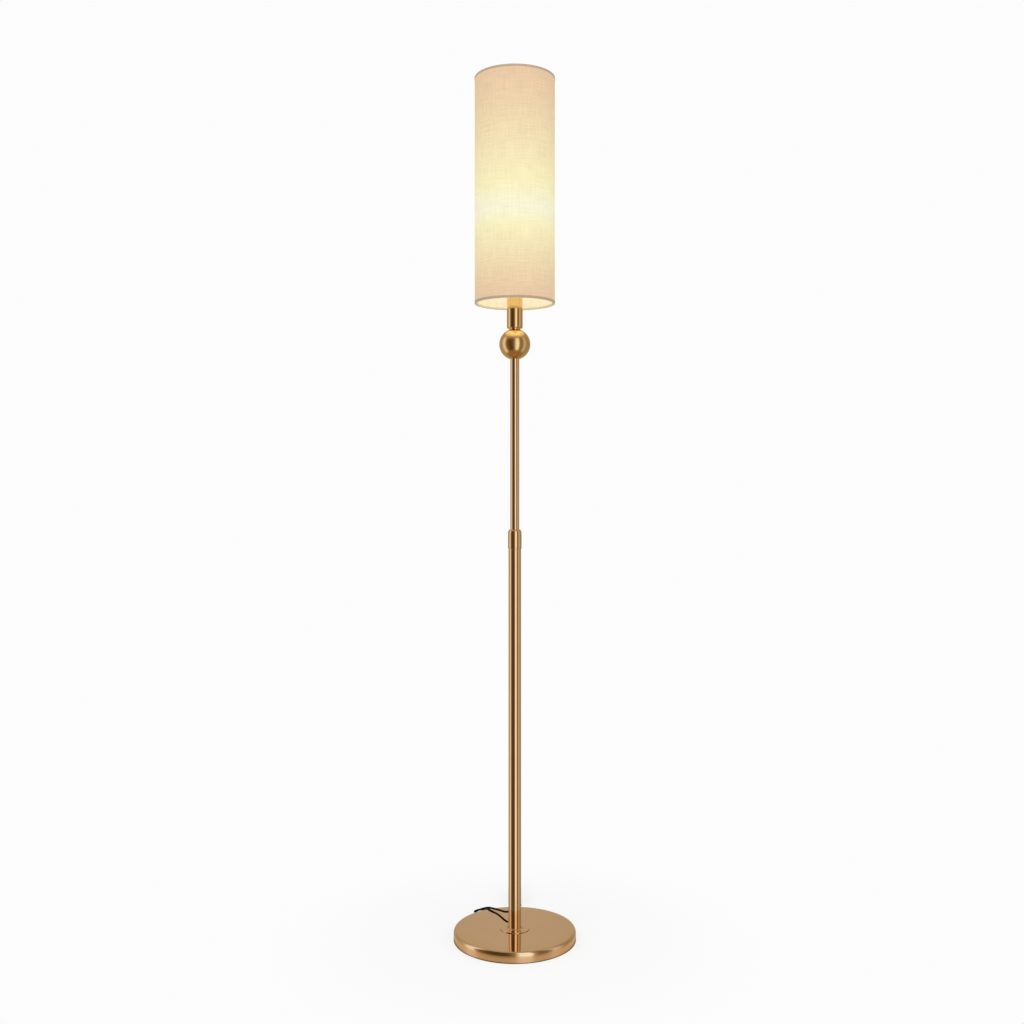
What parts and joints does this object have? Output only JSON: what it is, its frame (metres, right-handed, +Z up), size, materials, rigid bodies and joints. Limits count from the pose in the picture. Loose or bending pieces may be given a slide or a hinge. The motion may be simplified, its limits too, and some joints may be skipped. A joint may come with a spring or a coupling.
{
  "type": "column floor lamp",
  "caption": "Slim column floor lamp: round weighted base, telescopic brass pole with twist lock, ball, neck sleeve and tall drum shade on a recessed fitter, with cord and plug.",
  "frame": {"origin": "on the floor under the middle of the round base", "axes": "+Z up along the pole; the cord leaves the pole's back towards +Y; +X to the right in the picture"},
  "size_m": [0.232, 0.4095, 1.636],
  "materials": {
    "felt": "dense black wool felt",
    "polished_brass": "polished and lacquered",
    "mirror_brass": "mirror-polished top",
    "satin_brass": "satin brushed round the axis",
    "cast_iron": "rough casting, painted",
    "zinc_steel": "zinc plated",
    "nylon": "turned natural nylon",
    "black_rubber": "moulded soft PVC",
    "black_flex": "smooth black flex",
    "holder_plastic": "moulded thermoset",
    "ceramic_white": "unglazed",
    "contact_brass": "pressed sheet",
    "black_plastic": "moulded",
    "opal_glass": "opal, lit from within",
    "cap_metal": "rolled screw cap",
    "linen": "plain weave laminated on a diffuser",
    "hem_tape": "folded tape",
    "frame_wire": "pale enamelled wire",
    "tie_wire": "soft strip"
  },
  "bodies": {
    "stand": {"base_pad": "felt", "base_cover": "mirror_brass", "base_weight": "cast_iron", "pole_bolt": "zinc_steel", "spring_washer": "zinc_steel", "flat_washer": "zinc_steel", "foot_flange": "polished_brass", "pole_foot_plug": "zinc_steel", "lower_tube": "polished_brass", "cord_outlet": "black_rubber", "lead_bend": "black_flex", "lead_in_pole": "black_flex", "tube_ferrule": "polished_brass", "collet": "nylon", "cord_run": "black_flex", "cord_hank": "black_flex", "cord_tail": "black_flex", "hank_tie": "tie_wire", "plug_body": "black_rubber", "plug_relief": "black_rubber", "plug_blades": "contact_brass"},
    "collar": {"lock_collar": "polished_brass"},
    "head": {"guide_bush": "nylon", "upper_tube": "polished_brass", "tube_top_insert": "zinc_steel", "ball": "satin_brass", "ball_spacer": "polished_brass", "neck_sleeve": "polished_brass", "neck_washer": "zinc_steel", "neck_nut": "zinc_steel", "neck_cap": "polished_brass", "head_nipple": "zinc_steel", "lead_in_head": "black_flex", "holder_cap": "holder_plastic", "holder_body": "holder_plastic", "holder_insert": "ceramic_white", "screw_shell": "contact_brass", "centre_contact": "contact_brass", "terminal_screws": "contact_brass", "shade_ring_lower": "holder_plastic", "shade_ring_upper": "holder_plastic", "bulb_glass": "opal_glass", "bulb_screw_cap": "cap_metal", "shade_panel": "linen", "top_wire_ring": "frame_wire", "shade_frame": "frame_wire", "top_hem": "hem_tape", "bottom_hem": "hem_tape"},
    "switch_bar": {"push_bar": "black_plastic"}
  },
  "joints": [
    {"name": "collar_turn", "type": "hinge", "parent": "stand", "child": "collar", "pos_m": [0, 0, 0.76], "axis": [0, 0, 1], "range_deg": [0, 180]},
    {"name": "height_slide", "type": "slide", "parent": "stand", "child": "head", "axis": [0, 0, 1], "range_m": [-0.3, 0], "deforming": ["lead_in_pole"]},
    {"name": "switch_push", "type": "slide", "parent": "head", "child": "switch_bar", "axis": [1, 0, 0], "range_m": [-0.005, 0]}
  ]
}
